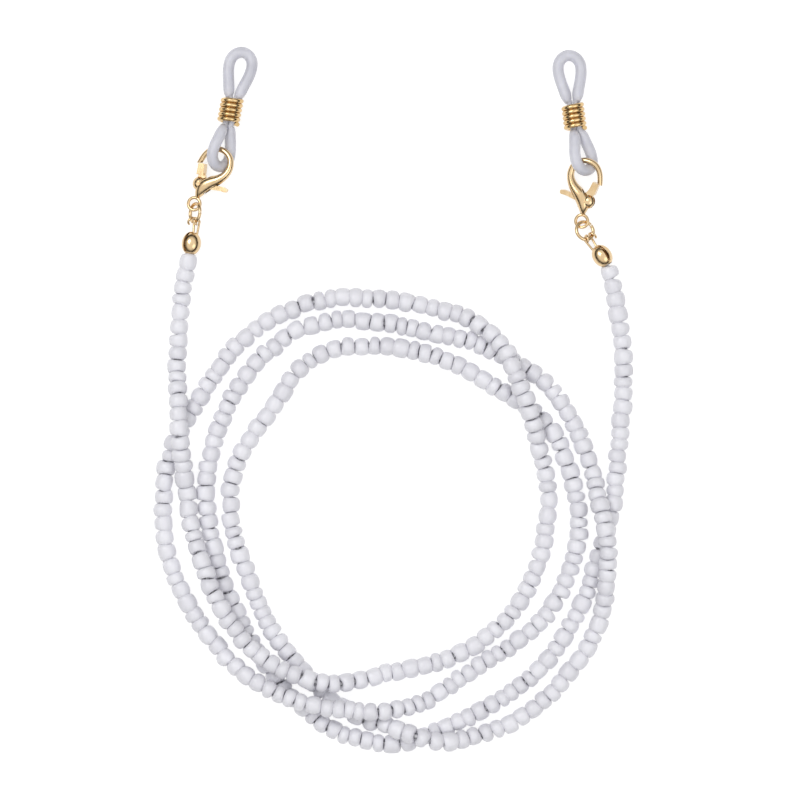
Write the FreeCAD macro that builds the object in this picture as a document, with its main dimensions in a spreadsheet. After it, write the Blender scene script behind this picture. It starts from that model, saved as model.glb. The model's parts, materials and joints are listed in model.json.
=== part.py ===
import FreeCAD, Part
import math
import os

import Sketcher
from FreeCAD import Placement, Rotation, Vector

# Beaded eyeglass retainer strap, laid loosely in loops on a flat surface at z = 0.
# Millimetres and degrees. +Z is up and +X runs from the left end fitting to the right one.
# The origin lies on the surface, midway between the two end fittings.
doc = FreeCAD.newDocument("eyeglass_retainer_strap")

SIZES = [
    # strand
    ("thread_diameter", 0.6),
    ("bead_diameter", 3.05),
    ("bead_length", 1.95),
    ("bead_bore", 1.0),
    ("bead_shoulder", 0.55),
    ("bead_gap", 0.05),
    ("bead_start", 1.9),
    # clamshell bead tip and the crimp that it hides
    ("cup_width", 3.1),
    ("cup_length", 3.8),
    ("cup_wall", 0.25),
    ("cup_seam", 0.5),
    ("cup_web", 0.5),
    ("cup_thread_clearance", 0.9),
    ("tip_hook_wire", 0.36),
    ("tip_hook_reach", 3.45),
    ("tip_hook_spread", 26.0),
    ("tip_hook_curl", 255.0),
    ("tip_hook_bend", 0.4),
    ("tip_hook_foot", 0.43),
    ("tip_hook_root", 1.48),
    ("crimp_diameter", 1.2),
    ("crimp_length", 1.0),
    ("crimp_clearance", 0.02),
    ("crimp_shift", 0.45),
    # jump ring
    ("ring_radius", 1.47),
    ("ring_wire", 0.56),
    ("ring_split", 4.0),
    ("ring_split_turn", 10.0),
    ("ring_play", 0.14),
    # lobster clasp
    ("clasp_length", 11.7),
    ("tail_radius", 1.0),
    ("tail_wire", 0.5),
    ("lobe_radius", 1.05),
    ("lobe_length", 1.155),
    ("rivet_diameter", 0.6),
    ("rivet_length", 2.2),
    ("rivet_clearance", 0.06),
    ("tongue_thickness", 0.7),
    ("slot_clearance", 0.1),
    ("gate_thickness", 1.5),
    ("gate_hub", 0.75),
    ("gate_reach", 3.33),
    ("gate_gap", 0.08),
    ("lobe_top", 1.5),
    ("gate_swing", 120.0),
    ("tab_thickness", 1.0),
    ("spring_strip", 0.12),
    ("spring_width", 0.6),
    # silicone loop and its coil
    ("tube_diameter", 1.8),
    ("temple_eye_length", 9.85),
    ("clasp_eye_length", 8.9),
    ("temple_eye_gap", 0.92),
    ("clasp_eye_gap", 0.95),
    ("arm_gap", 0.02),
    ("waist_length", 4.6),
    ("coil_diameter", 3.7),
    ("coil_wire", 0.74),
    ("coil_pitch", 0.75),
    ("coil_turns", 5.0),
    ("coil_clearance", 0.06),
    ("loop_height", 1.87),
    ("temple_eye_droop", 7.0),
    ("clasp_eye_roll", 44.0),
    # how the left end lies
    ("left_tip_turn", 3.0),
    ("left_tip_pitch", -2.0),
    ("left_tip_roll", -45.0),
    ("left_ring_twist", -12.0),
    ("left_link_angle", -17.5),
    ("left_link_hang", 0.1),
    ("left_link_yaw", 60.0),
    ("left_clasp_yaw", -27.8),
    ("left_clasp_pitch", 7.0),
    ("left_clasp_roll", 165.0),
    ("left_coil_yaw", -10.4),
    ("left_temple_bend", -2.1),
    ("left_clasp_bend", -2.0),
    ("left_clasp_rise", 3.5),
    ("left_hook_slack", 1.2),
    ("left_hook_offset", 0.3),
    # how the right end lies
    ("right_tip_turn", 4.0),
    ("right_tip_pitch", -7.0),
    ("right_tip_roll", 28.0),
    ("right_ring_twist", 0.0),
    ("right_link_angle", 12.5),
    ("right_link_hang", 0.2),
    ("right_link_yaw", -20.0),
    ("right_clasp_yaw", -5.5),
    ("right_clasp_pitch", 8.5),
    ("right_clasp_roll", -13.0),
    ("right_coil_yaw", 7.5),
    ("right_temple_bend", -2.7),
    ("right_clasp_bend", 5.2),
    ("right_clasp_rise", 3.3),
    ("right_hook_slack", 0.45),
    ("right_hook_offset", 0.2),
]

sheet = doc.addObject("Spreadsheet::Sheet", "sizes")
for row, (alias, value) in enumerate(SIZES, start=1):
    sheet.set("A%d" % row, alias)
    sheet.set("B%d" % row, str(value))
    sheet.setAlias("B%d" % row, alias)
doc.recompute()

parts = []


def size(alias):
    return float(getattr(sheet, alias))


def keep(item, label):
    """Names a finished sub-part; the name is also its file's name."""
    item.Label = label
    parts.append(item)
    return item


def frame(origin, yaw=0.0, pitch=0.0, roll=0.0):
    """Local +Y points along the piece; yaw turns it left, pitch lifts it, roll lowers its right side."""
    turn = Rotation(Vector(0, 0, 1), yaw) * Rotation(Vector(1, 0, 0), pitch) * Rotation(Vector(0, 1, 0), roll)
    return Placement(origin, turn)


def primitive(kind, name, place=None, **formulas):
    """A Part primitive whose sizes are formulas of the sheet."""
    item = doc.addObject("Part::" + kind, name)
    for prop, formula in formulas.items():
        item.setExpression(prop, formula)
    if place is not None:
        item.Placement = place
    return item


def fuse(name, *items):
    item = doc.addObject("Part::MultiFuse", name)
    item.Shapes = list(items)
    return item


def cut(name, base, tool):
    item = doc.addObject("Part::Cut", name)
    item.Base = base
    item.Tool = tool
    return item


def shape(name, solid):
    """A solid that no primitive or sketch gives, such as a loft of changing width."""
    item = doc.addObject("Part::Feature", name)
    item.Shape = solid
    return item


def sketch_on(body, name, role="XY_Plane"):
    sketch = body.newObject("Sketcher::SketchObject", name)
    sketch.AttachmentSupport = (next(p for p in body.Origin.OriginFeatures if p.Role == role), [""])
    sketch.MapMode = "FlatFace"
    return sketch


def closed_outline(sketch, points):
    """Straight lines from point to point and back to the first."""
    corners = [Vector(x, y, 0) for x, y in points]
    first = sketch.GeometryCount
    for start, end in zip(corners, corners[1:] + corners[:1]):
        sketch.addGeometry(Part.LineSegment(start, end), False)
    for index in range(len(corners)):
        following = (index + 1) % len(corners)
        sketch.addConstraint(Sketcher.Constraint("Coincident", first + index, 2, first + following, 1))


def circle_in(sketch, x, y, radius_formula):
    """A circle at a fixed place, with its radius driven by the sheet."""
    circle = sketch.addGeometry(Part.Circle(Vector(x, y, 0), Vector(0, 0, 1), 1.0), False)
    sketch.addConstraint(Sketcher.Constraint("DistanceX", -1, 1, circle, 3, x))
    sketch.addConstraint(Sketcher.Constraint("DistanceY", -1, 1, circle, 3, y))
    radius = sketch.addConstraint(Sketcher.Constraint("Radius", circle, 1.0))
    sketch.setExpression("Constraints[%d]" % radius, radius_formula)


def pad(body, name, sketch, length_formula):
    """Grows a sketch equally to both sides of its plane."""
    feature = body.newObject("PartDesign::Pad", name)
    feature.Profile = sketch
    feature.SideType = "Symmetric"
    feature.setExpression("Length", length_formula)
    return feature


def section(centre, along, half_width, half_depth):
    """A closed oval across the direction along; its width lies in the XY plane."""
    across = Vector(along.y, -along.x, 0).normalize()
    up = across.cross(along).normalize()
    ring = []
    for step in range(12):
        angle = math.radians(30 * step)
        ring.append(centre + across * (half_width * math.cos(angle)) + up * (half_depth * math.sin(angle)))
    curve = Part.BSplineCurve()
    curve.interpolate(Points=ring, PeriodicFlag=True)
    return Part.Wire([curve.toShape()])


def loft(stations):
    """A solid through ovals along a flat curve; a station is (x, y, half_width, half_depth)."""
    centres = [Vector(x, y, 0) for x, y, width, depth in stations]
    wires = []
    for index, (x, y, width, depth) in enumerate(stations):
        before = centres[max(index - 1, 0)]
        after = centres[min(index + 1, len(centres) - 1)]
        wires.append(section(centres[index], (after - before).normalize(), width, depth))
    return Part.makeLoft(wires, True, False)


def prism(points, half_height):
    """A flat polygon given thickness to both sides of the XY plane."""
    corners = [Vector(x, y, -half_height) for x, y in points]
    face = Part.Face(Part.makePolygon(corners + corners[:1]))
    return face.extrude(Vector(0, 0, 2 * half_height))


# ---------------------------------------------------------------- strand
# The strand's route from the left bead tip to the right one: about three and a half loops and two
# tails. Where a stretch crosses another, the upper one climbs over it in a hump.
ROUTE = [
    (-33.0, -14.0, 1.65), (-33.4, -16.3, 1.6), (-34.2, -19.8, 1.52), (-34.9, -24.3, 1.52),
    (-35.1, -29.4, 1.52), (-35.3, -34.0, 2.18), (-35.1, -38.3, 3.81), (-34.9, -42.5, 4.79),
    (-34.6, -46.5, 4.58), (-33.9, -50.5, 3.16), (-33.7, -55.0, 2.4), (-33.0, -59.5, 3.05),
    (-31.5, -63.9, 4.25), (-30.1, -68.6, 4.74), (-27.5, -73.5, 4.74), (-24.3, -77.9, 4.74),
    (-20.2, -81.2, 4.74), (-15.8, -83.1, 4.79), (-12.2, -84.1, 4.58), (-8.2, -84.2, 3.16),
    (-3.8, -83.2, 1.74), (1.4, -82.0, 1.52), (7.8, -80.6, 1.52), (13.8, -77.5, 1.52),
    (18.6, -72.9, 1.52), (21.8, -67.1, 1.52), (23.6, -60.6, 1.52), (24.1, -54.5, 1.52),
    (23.5, -49.5, 1.63), (22.2, -45.9, 2.83), (21.4, -42.3, 4.36), (20.5, -39.0, 4.79),
    (19.0, -35.6, 4.68), (17.7, -31.9, 4.79), (15.2, -28.6, 3.92), (11.8, -26.0, 2.29),
    (7.5, -24.7, 1.52), (1.1, -23.2, 1.52), (-6.4, -22.5, 1.52), (-13.9, -23.2, 1.52),
    (-20.6, -26.0, 1.52), (-25.9, -30.2, 1.52), (-30.2, -36.1, 1.52), (-33.3, -41.5, 1.52),
    (-36.2, -46.5, 1.52), (-37.6, -52.9, 1.52), (-37.6, -59.8, 1.52), (-36.2, -66.2, 1.52),
    (-33.3, -72.4, 1.52), (-29.4, -77.7, 1.63), (-26.6, -81.2, 2.4), (-23.2, -83.8, 4.03),
    (-19.4, -85.7, 4.79), (-15.2, -87.3, 4.79), (-10.7, -88.0, 4.79), (-6.4, -88.5, 4.9),
    (-2.4, -88.7, 4.85), (1.6, -88.1, 3.27), (5.4, -86.6, 1.74), (9.6, -83.7, 1.52),
    (15.5, -79.9, 1.52), (21.6, -75.9, 1.52), (26.1, -70.2, 1.52), (28.4, -63.8, 1.52),
    (29.1, -57.5, 1.52), (27.8, -51.3, 1.52), (25.9, -45.7, 1.52), (22.4, -41.0, 1.52),
    (16.8, -37.7, 1.52), (10.7, -33.9, 1.52), (4.3, -31.3, 1.52), (-3.2, -30.2, 1.52),
    (-10.1, -30.4, 1.52), (-15.5, -33.2, 1.52), (-18.9, -38.7, 1.52), (-22.9, -43.9, 1.52),
    (-26.1, -49.2, 1.52), (-27.1, -55.8, 1.52), (-25.8, -62.5, 1.52), (-23.2, -69.2, 1.52),
    (-20.7, -75.3, 1.52), (-16.6, -80.7, 1.52), (-12.2, -85.7, 1.52), (-7.7, -89.1, 1.52),
    (-4.0, -90.3, 1.85), (-0.8, -91.3, 3.2), (2.2, -92.3, 4.74), (5.8, -93.5, 4.47),
    (9.3, -93.4, 3.05), (13.4, -92.4, 1.74), (18.9, -90.4, 1.52), (24.6, -86.0, 1.52),
    (29.6, -79.9, 1.52), (32.2, -74.5, 1.74), (33.1, -70.0, 3.05), (33.6, -65.4, 4.36),
    (33.4, -60.9, 4.79), (32.5, -56.7, 4.25), (31.5, -52.9, 2.61), (30.7, -48.7, 1.63),
    (28.0, -42.3, 1.52), (24.2, -36.3, 1.52), (18.2, -32.7, 1.52), (12.5, -29.7, 1.52),
    (5.4, -28.2, 1.52), (-1.9, -26.7, 1.52), (-9.6, -25.9, 1.52), (-17.0, -27.9, 1.52),
    (-23.2, -33.4, 1.52), (-26.9, -39.1, 1.52), (-29.6, -45.9, 1.52), (-31.0, -52.9, 1.52),
    (-30.2, -59.8, 1.52), (-28.4, -66.7, 1.52), (-25.4, -74.2, 1.52), (-21.4, -81.2, 1.52),
    (-16.6, -87.2, 1.52), (-10.6, -92.0, 1.52), (-4.5, -93.7, 1.52), (0.6, -94.1, 1.52),
    (5.1, -92.3, 1.52), (10.2, -90.1, 1.52), (16.3, -87.1, 1.52), (22.2, -82.8, 1.52),
    (27.2, -75.9, 1.52), (30.6, -69.4, 1.52), (31.9, -63.9, 1.52), (33.6, -59.5, 1.52),
    (34.6, -54.5, 1.52), (35.1, -47.9, 1.52), (35.7, -40.9, 1.52), (36.2, -34.5, 1.52),
    (35.8, -28.1, 1.52), (34.7, -23.5, 1.52), (34.4, -20.6, 1.58), (33.7, -17.9, 1.6),
    (32.6, -16.0, 1.65),
]
points = [Vector(*point) for point in ROUTE]


class Path:
    """Straight runs joined by tangent arcs, measured by distance along it."""

    def __init__(self, corners):
        self.pieces = []
        self.radii = []
        start = corners[0]
        for before, corner, after in zip(corners, corners[1:], corners[2:]):
            run_in = (corner - before).normalize()
            run_out = (after - corner).normalize()
            turn = run_in.getAngle(run_out)
            reach = 0.45 * min((corner - before).Length, (after - corner).Length)
            radius = reach / math.tan(turn / 2)
            self.radii.append(radius)
            leave = corner - run_in * reach
            join = corner + run_out * reach
            self.pieces.append(("run", start, run_in, (leave - start).Length))
            inward = (run_out - run_in * run_out.dot(run_in)).normalize()
            self.pieces.append(("arc", leave, run_in, radius * turn, inward, radius, join))
            start = join
        self.pieces.append(("run", start, (corners[-1] - start).normalize(), (corners[-1] - start).Length))
        self.length = sum(piece[3] for piece in self.pieces)

    def at(self, distance):
        """The point and the direction at a distance along the path."""
        for piece in self.pieces:
            if distance <= piece[3] or piece is self.pieces[-1]:
                break
            distance -= piece[3]
        if piece[0] == "run":
            return piece[1] + piece[2] * distance, piece[2]
        start, run_in, inward, radius = piece[1], piece[2], piece[4], piece[5]
        angle = distance / radius
        place = start + run_in * (radius * math.sin(angle)) + inward * (radius * (1 - math.cos(angle)))
        return place, run_in * math.cos(angle) + inward * math.sin(angle)

    def wire(self):
        edges = []
        for piece in self.pieces:
            if piece[0] == "run":
                edges.append(Part.LineSegment(piece[1], piece[1] + piece[2] * piece[3]).toShape())
                continue
            start, run_in, inward, radius, join = piece[1], piece[2], piece[4], piece[5], piece[6]
            half = piece[3] / radius / 2
            middle = start + run_in * (radius * math.sin(half)) + inward * (radius * (1 - math.cos(half)))
            edges.append(Part.Arc(start, middle, join).toShape())
        return Part.Wire(edges)


path = Path(points)
smallest_radii = [round(radius, 1) for radius in sorted(path.radii)[:6]]
print("strand length %.1f mm, smallest radii %s" % (path.length, smallest_radii))

thread_radius = size("thread_diameter") / 2
start_circle = Part.Circle(path.at(0)[0], path.at(0)[1], thread_radius)
thread_solid = path.wire().makePipeShell([Part.Wire([start_circle.toShape()])], True, False)
thread = keep(shape("thread", thread_solid), "thread")
print("thread volume over section times length %.4f" % (
    thread.Shape.Volume / (math.pi * thread_radius ** 2 * path.length)))


# Each bead is a little different, as pressed seed beads are: a repeatable uneven number in 0..1.
def uneven(index, kind):
    value = math.sin(12.9898 * (index + 1) + 78.233 * kind) * 43758.5453
    return value - math.floor(value)


def bead_sizes(index):
    length = size("bead_length") * (0.76 + 0.48 * uneven(index, 1))
    radius = size("bead_diameter") / 2 * (0.94 + 0.06 * uneven(index, 2))
    return length, radius


def bead_solid(length, radius):
    """A short barrel about Z with a bore and rounded shoulders."""
    half = length / 2
    bore = size("bead_bore") / 2
    shoulder = min(size("bead_shoulder"), 0.9 * half)
    rim = shoulder * math.sqrt(0.5)
    flat = radius - shoulder

    def arc(side):
        ends = [(flat, side * half), (radius, side * (half - shoulder))]
        middle = Vector(flat + rim, 0, side * (half - shoulder + rim))
        first, last = ends if side > 0 else ends[::-1]
        return Part.Arc(Vector(first[0], 0, first[1]), middle, Vector(last[0], 0, last[1])).toShape()

    def line(x1, z1, x2, z2):
        return Part.LineSegment(Vector(x1, 0, z1), Vector(x2, 0, z2)).toShape()

    edges = [
        line(bore, half, flat, half),
        arc(1),
        line(radius, half - shoulder, radius, shoulder - half),
        arc(-1),
        line(flat, -half, bore, -half),
        line(bore, -half, bore, half),
    ]
    return Part.Face(Part.Wire(edges)).revolve(Vector(0, 0, 0), Vector(0, 0, 1), 360)


def spread_beads():
    """Threads beads one against the next, then shares what is left over among the gaps."""
    places = []
    last = path.length - size("bead_start")
    length, radius = bead_sizes(0)
    distance = size("bead_start") + length / 2
    while distance + length / 2 <= last:
        places.append((distance, length, radius))
        following = bead_sizes(len(places))
        step = (length + following[0]) / 2 + size("bead_gap")
        turn = path.at(distance)[1].getAngle(path.at(distance + step)[1])
        distance += step + (radius - size("bead_shoulder")) * turn
        length, radius = following
    spare = last - places[-1][0] - places[-1][1] / 2
    share = spare / (len(places) - 1)
    return [(place[0] + share * index, place[1], place[2]) for index, place in enumerate(places)]


BEAD_RUNS = 12
beads = spread_beads()
run_count = math.ceil(len(beads) / BEAD_RUNS)
for run in range(BEAD_RUNS):
    solids = []
    for distance, length, radius in beads[run * run_count:(run + 1) * run_count]:
        bead = bead_solid(length, radius)
        place, along = path.at(distance)
        bead.Placement = Placement(place, Rotation(Vector(0, 0, 1), along))
        solids.append(bead)
    label = "beads_run_%02d" % (run + 1)
    keep(shape(label, Part.makeCompound(solids)), label)
    print("%s: %d beads" % (label, len(solids)))


# ---------------------------------------------------------------- end fittings
def tip_curl_radius():
    return (size("ring_wire") + size("tip_hook_wire")) / 2 + size("ring_play")


def add_bead_tip(side, place):
    """A clamshell: two cups joined by a web at the thread's hole, each with a curled hook on top."""
    name = "bead_tip_" + side
    outer = primitive(
        "Ellipsoid", name + "_outer", Radius1="sizes.cup_width / 2", Radius2="sizes.cup_width / 2",
        Radius3="sizes.cup_length / 2")
    inner = primitive(
        "Ellipsoid", name + "_inner", Radius1="sizes.cup_width / 2 - sizes.cup_wall",
        Radius2="sizes.cup_width / 2 - sizes.cup_wall", Radius3="sizes.cup_length / 2 - sizes.cup_wall")
    half_length = size("cup_length") / 2
    seam_corner = Vector(-size("cup_seam") / 2, size("cup_web") - half_length, -half_length)
    seam = primitive(
        "Box", name + "_seam", Placement(seam_corner, Rotation()),
        Length="sizes.cup_seam", Width="sizes.cup_length", Height="sizes.cup_length")
    hole = primitive(
        "Cylinder", name + "_hole", Placement(Vector(0, -2 * half_length, 0), Rotation(Vector(1, 0, 0), -90)),
        Radius="(sizes.thread_diameter + sizes.cup_thread_clearance) / 2", Height="sizes.cup_length")
    cups = cut(name + "_cups", outer, fuse(name + "_hollows", inner, seam, hole))
    curl = tip_curl_radius()
    hooks = []
    for mark, sign in (("a", -1), ("b", 1)):
        spread = math.radians(sign * size("tip_hook_spread"))
        centre = Vector(math.sin(spread), 1 - math.cos(spread), 0) * size("ring_radius")
        centre += Vector(0, size("tip_hook_reach"), 0)
        bottom = centre - Vector(0, 0, curl)
        foot = Vector(sign * size("tip_hook_foot"), size("tip_hook_root"), -curl)
        shank = primitive("Cylinder", name + "_shank_" + mark, Radius="sizes.tip_hook_wire / 2")
        shank.Height = (bottom - foot).Length
        shank.Placement = Placement(foot, Rotation(Vector(0, 0, 1), bottom - foot))
        ball = primitive(
            "Sphere", name + "_bend_" + mark, Placement(bottom, Rotation()), Radius="sizes.tip_hook_bend / 2")
        wire_way = Vector(math.cos(spread), math.sin(spread), 0)
        turn = Rotation(Vector(0, 0, -1), Vector(), wire_way, "ZXY")
        hooks += [shank, ball, primitive(
            "Torus", name + "_curl_" + mark, Placement(centre, turn),
            Radius1="(sizes.ring_wire + sizes.tip_hook_wire) / 2 + sizes.ring_play",
            Radius2="sizes.tip_hook_wire / 2", Angle3="sizes.tip_hook_curl")]
    tip = fuse(name, cups, *hooks)
    tip.Placement = place
    return keep(tip, name)


def add_crimp(side, place):
    """The crushed crimp that holds the thread's end inside the cups; it lies along local Y."""
    body = doc.addObject("PartDesign::Body", "crimp_bead_" + side)
    sketch = sketch_on(body, "crimp_section_" + side, "XZ_Plane")
    circle_in(sketch, 0, 0, "sizes.crimp_diameter / 2")
    circle_in(sketch, 0, 0, "sizes.thread_diameter / 2 + sizes.crimp_clearance")
    pad(body, "crimp_length_" + side, sketch, "sizes.crimp_length")
    body.Placement = place
    return keep(body, "crimp_bead_" + side)


def add_jump_ring(side, place):
    """A round wire ring in its local XY plane, with a fine split on its right side."""
    ring = primitive(
        "Torus", "jump_ring_" + side, Radius1="sizes.ring_radius", Radius2="sizes.ring_wire / 2",
        Angle3="360 - sizes.ring_split")
    ring.Placement = place * Placement(Vector(), Rotation(Vector(0, 0, 1), size("ring_split_turn")))
    return keep(ring, "jump_ring_" + side)


# The lobster clasp lies along its local +Y, with its tail ring round the local origin. Outlines are
# those of a clasp of the nominal length and grow with it.
NOMINAL_CLASP = 12.0
scale = size("clasp_length") / NOMINAL_CLASP
PIVOT = Vector(0.69, 3.31, 0) * scale
HOOK = [
    # x, y, half width, half depth: from the hook's free end round to the tail ring
    (2.42, 5.60, 0.40, 0.42),
    (2.41, 6.60, 0.42, 0.46),
    (2.22, 8.05, 0.45, 0.50),
    (1.55, 9.25, 0.47, 0.52),
    (0.40, 9.90, 0.48, 0.52),
    (-0.70, 9.95, 0.48, 0.52),
    (-1.80, 9.45, 0.50, 0.56),
    (-2.45, 8.45, 0.55, 0.62),
    (-2.60, 7.30, 0.60, 0.70),
    (-2.28, 6.20, 0.70, 0.84),
    (-1.60, 5.20, 0.88, 1.00),
    (-0.75, 4.30, 1.10, 1.12),
    (-0.12, 3.30, 1.15, 1.12),
    (0.06, 2.30, 0.88, 0.95),
    (0.06, 1.50, 0.52, 0.60),
    (0.04, 1.00, 0.24, 0.24),
]
# where the silicone loop crosses the hook, and the hook's direction there
HOOK_CATCH = {"left": (0.40, 9.90), "right": (-0.86, 9.93)}
HOOK_CATCH_WAY = {"left": (0.955, -0.297), "right": (0.961, 0.275)}
HOOK_HALF_WIRE = 0.5
SLOT = [(3.2, 2.44), (3.2, 6.2), (-0.3, 6.2), (-0.6, 4.38), (-4.6, 5.47), (-4.6, 1.6), (0.69, 2.44)]
TONGUE = [(0.15, 2.80), (-2.60, 3.80), (-2.60, 4.55), (-0.45, 4.05), (0.00, 4.40), (0.70, 5.30), (1.60, 5.30),
          (1.44, 3.31), (0.69, 2.60)]
TAB = [(-2.35, 3.78), (-3.10, 3.98), (-3.85, 4.10), (-4.05, 4.35), (-3.98, 4.75), (-3.30, 4.80),
       (-2.35, 4.55)]
SPRING = [(0.30, 2.39), (-0.80, 2.22), (-0.95, 2.34), (-0.55, 2.95), (-0.46, 2.88), (-0.79, 2.36),
          (0.29, 2.51)]
ARM_FOOT = (48.0, 92.0)
ARM_TOP = (61.0, 79.0)


def scaled(outline):
    return [(x * scale, y * scale) for x, y in outline]


def add_clasp_body(side, place):
    """Hook and shoulders in one casting with the tail ring, slotted for the gate and bored for the rivet."""
    name = "clasp_body_" + side
    hook = shape(name + "_hook", loft([tuple(scale * value for value in station) for station in HOOK]))
    lobe = primitive(
        "Ellipsoid", name + "_lobe", Placement(PIVOT + Vector(0.15, 0.05, 0) * scale, Rotation()),
        Radius1="sizes.lobe_radius", Radius2="sizes.lobe_radius", Radius3="sizes.lobe_length")
    tail = primitive("Torus", name + "_tail", Radius1="sizes.tail_radius", Radius2="sizes.tail_wire / 2")
    half_slot = size("tongue_thickness") / 2 + size("slot_clearance")
    slot = shape(name + "_slot", prism(scaled(SLOT), half_slot))
    below = PIVOT - Vector(0, 0, size("clasp_length") / 2)
    swing = primitive(
        "Cylinder", name + "_swing", Placement(below, Rotation()), Radius="sizes.gate_reach + sizes.gate_gap",
        Height="sizes.clasp_length", Angle="sizes.gate_swing")
    shoulder = primitive(
        "Cylinder", name + "_shoulder", Placement(below, Rotation()), Radius="sizes.lobe_top",
        Height="sizes.clasp_length")
    bore = primitive(
        "Cylinder", name + "_bore", Placement(below, Rotation()), Radius="sizes.rivet_diameter / 2",
        Height="sizes.clasp_length")
    sweep = cut(name + "_sweep", swing, shoulder)
    openings = fuse(name + "_openings", slot, sweep, bore)
    casting = cut(name, fuse(name + "_casting", hook, lobe, tail), openings)
    casting.Placement = place
    return keep(casting, name)


def arm_outline(sketch):
    """Two arcs about the rivet, joined by the arm's two straight sides."""
    foot_radius = size("lobe_top") + size("gate_gap")
    corners = []
    for radius, angles in ((foot_radius, ARM_FOOT), (size("gate_reach"), ARM_TOP)):
        first, last = [math.radians(angle) for angle in angles]
        circle = Part.Circle(PIVOT, Vector(0, 0, 1), radius)
        sketch.addGeometry(Part.ArcOfCircle(circle, first, last), False)
        corners.append([PIVOT + Vector(math.cos(a), math.sin(a), 0) * radius for a in (first, last)])
    for start, end in zip(*corners):
        sketch.addGeometry(Part.LineSegment(start, end), False)


def add_gate(side, place):
    """The gate and its thumb tab: a thin tongue in the slot, with a thick arm and a thick tab outside it."""
    name = "clasp_gate_" + side
    body = doc.addObject("PartDesign::Body", name)
    hub = sketch_on(body, "hub_outline_" + side)
    circle_in(hub, PIVOT.x, PIVOT.y, "sizes.gate_hub")
    pad(body, "hub_" + side, hub, "sizes.tongue_thickness")
    tongue = sketch_on(body, "tongue_outline_" + side)
    closed_outline(tongue, scaled(TONGUE))
    pad(body, "tongue_" + side, tongue, "sizes.tongue_thickness")
    tab = sketch_on(body, "tab_outline_" + side)
    closed_outline(tab, scaled(TAB))
    pad(body, "tab_" + side, tab, "sizes.tab_thickness")
    arm = sketch_on(body, "arm_outline_" + side)
    arm_outline(arm)
    pad(body, "arm_" + side, arm, "sizes.gate_thickness")
    doc.recompute()
    solid = body.Shape.Volume
    eye = sketch_on(body, "rivet_eye_outline_" + side)
    circle_in(eye, PIVOT.x, PIVOT.y, "sizes.rivet_diameter / 2 + sizes.rivet_clearance")
    pocket = body.newObject("PartDesign::Pocket", "rivet_eye_" + side)
    pocket.Profile = eye
    pocket.SideType = "Symmetric"
    pocket.Type = "ThroughAll"
    doc.recompute()
    print("%s: rivet eye takes %.3f mm3" % (name, solid - body.Shape.Volume))
    body.Placement = place
    return keep(body, name)


def add_rivet(side, place):
    rivet = primitive(
        "Cylinder", "clasp_rivet_" + side, Radius="sizes.rivet_diameter / 2", Height="sizes.rivet_length")
    rivet.Placement = place * Placement(PIVOT - Vector(0, 0, size("rivet_length") / 2), Rotation())
    return keep(rivet, "clasp_rivet_" + side)


def add_spring(side, place):
    """A bent strip in the slot that presses the trigger arm up and so holds the gate shut."""
    body = doc.addObject("PartDesign::Body", "clasp_spring_" + side)
    strip = sketch_on(body, "strip_outline_" + side)
    closed_outline(strip, scaled(SPRING))
    pad(body, "strip_" + side, strip, "sizes.spring_width")
    body.Placement = place
    return keep(body, "clasp_spring_" + side)


# Each arm of an eye of the silicone loop: half of the gap between the arms beyond the closed gap,
# the distance from the coil's middle as a share of the eye's straight part, and the share of the
# tube's thickness that is left where the coil squeezes the arms.
TEMPLE_ARM = [
    (0.00, 1.90, 0.53), (0.00, 2.20, 0.53), (0.00, 2.55, 0.72), (0.01, 3.00, 0.90), (0.08, 3.60, 1.00),
    (0.28, 4.40, 1.00), (0.58, 5.50, 1.00), (0.82, 6.60, 1.00),
]
CLASP_ARM = [
    (0.00, 1.90, 0.53), (0.00, 2.20, 0.53), (0.00, 2.55, 0.72), (0.01, 3.00, 0.90), (0.10, 3.60, 1.00),
    (0.43, 4.60, 1.00), (0.83, 5.90, 1.00),
]
TEMPLE_BEND_START = 7.70
CLASP_BEND_START = 7.00


def eye_solid(arm, widest, bend_start, length):
    """One eye, pointing along +Y: an arm, a half ellipse round the end and the other arm."""
    radius = size("tube_diameter") / 2
    closed = size("arm_gap")
    half = [(closed + gap + share * radius, y, share * radius) for gap, y, share in arm]
    reach_x = widest + radius
    reach_y = length - bend_start
    bend = []
    for step in range(9):
        angle = math.radians(22.5 * step)
        bend.append((reach_x * math.cos(angle), bend_start + reach_y * math.sin(angle), radius))
    stations = half + bend + [(-x, y, r) for x, y, r in reversed(half)]
    return loft([(x, y, r, r) for x, y, r in stations])


def add_silicone_loop(side, place):
    """A tube ring that the coil pinches into two eyes: one for the temple, one for the clasp."""
    name = "silicone_loop_" + side
    start = Vector(0, 2, 0)
    temple = shape(name + "_temple_eye", eye_solid(
        TEMPLE_ARM, size("temple_eye_gap"), TEMPLE_BEND_START, size("temple_eye_length")))
    temple.Placement = Placement(start, Rotation()) * frame(
        Vector(), size(side + "_temple_bend"), -size("temple_eye_droop")) * Placement(-start, Rotation())
    clasp = shape(name + "_clasp_eye", eye_solid(
        CLASP_ARM, size("clasp_eye_gap"), CLASP_BEND_START, size("clasp_eye_length")))
    clasp.Placement = frame(
        Vector(), 180 + size(side + "_clasp_bend"), size(side + "_clasp_rise"), -size("clasp_eye_roll"))
    waist = primitive(
        "Cylinder", name + "_waist",
        Placement(Vector(0, -size("waist_length") / 2, 0), Rotation(Vector(1, 0, 0), -90)),
        Radius="sizes.coil_diameter / 2 - sizes.coil_wire - sizes.coil_clearance",
        Height="sizes.waist_length")
    loop = fuse(name, temple, clasp, waist)
    loop.Placement = place
    return keep(loop, name)


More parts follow.
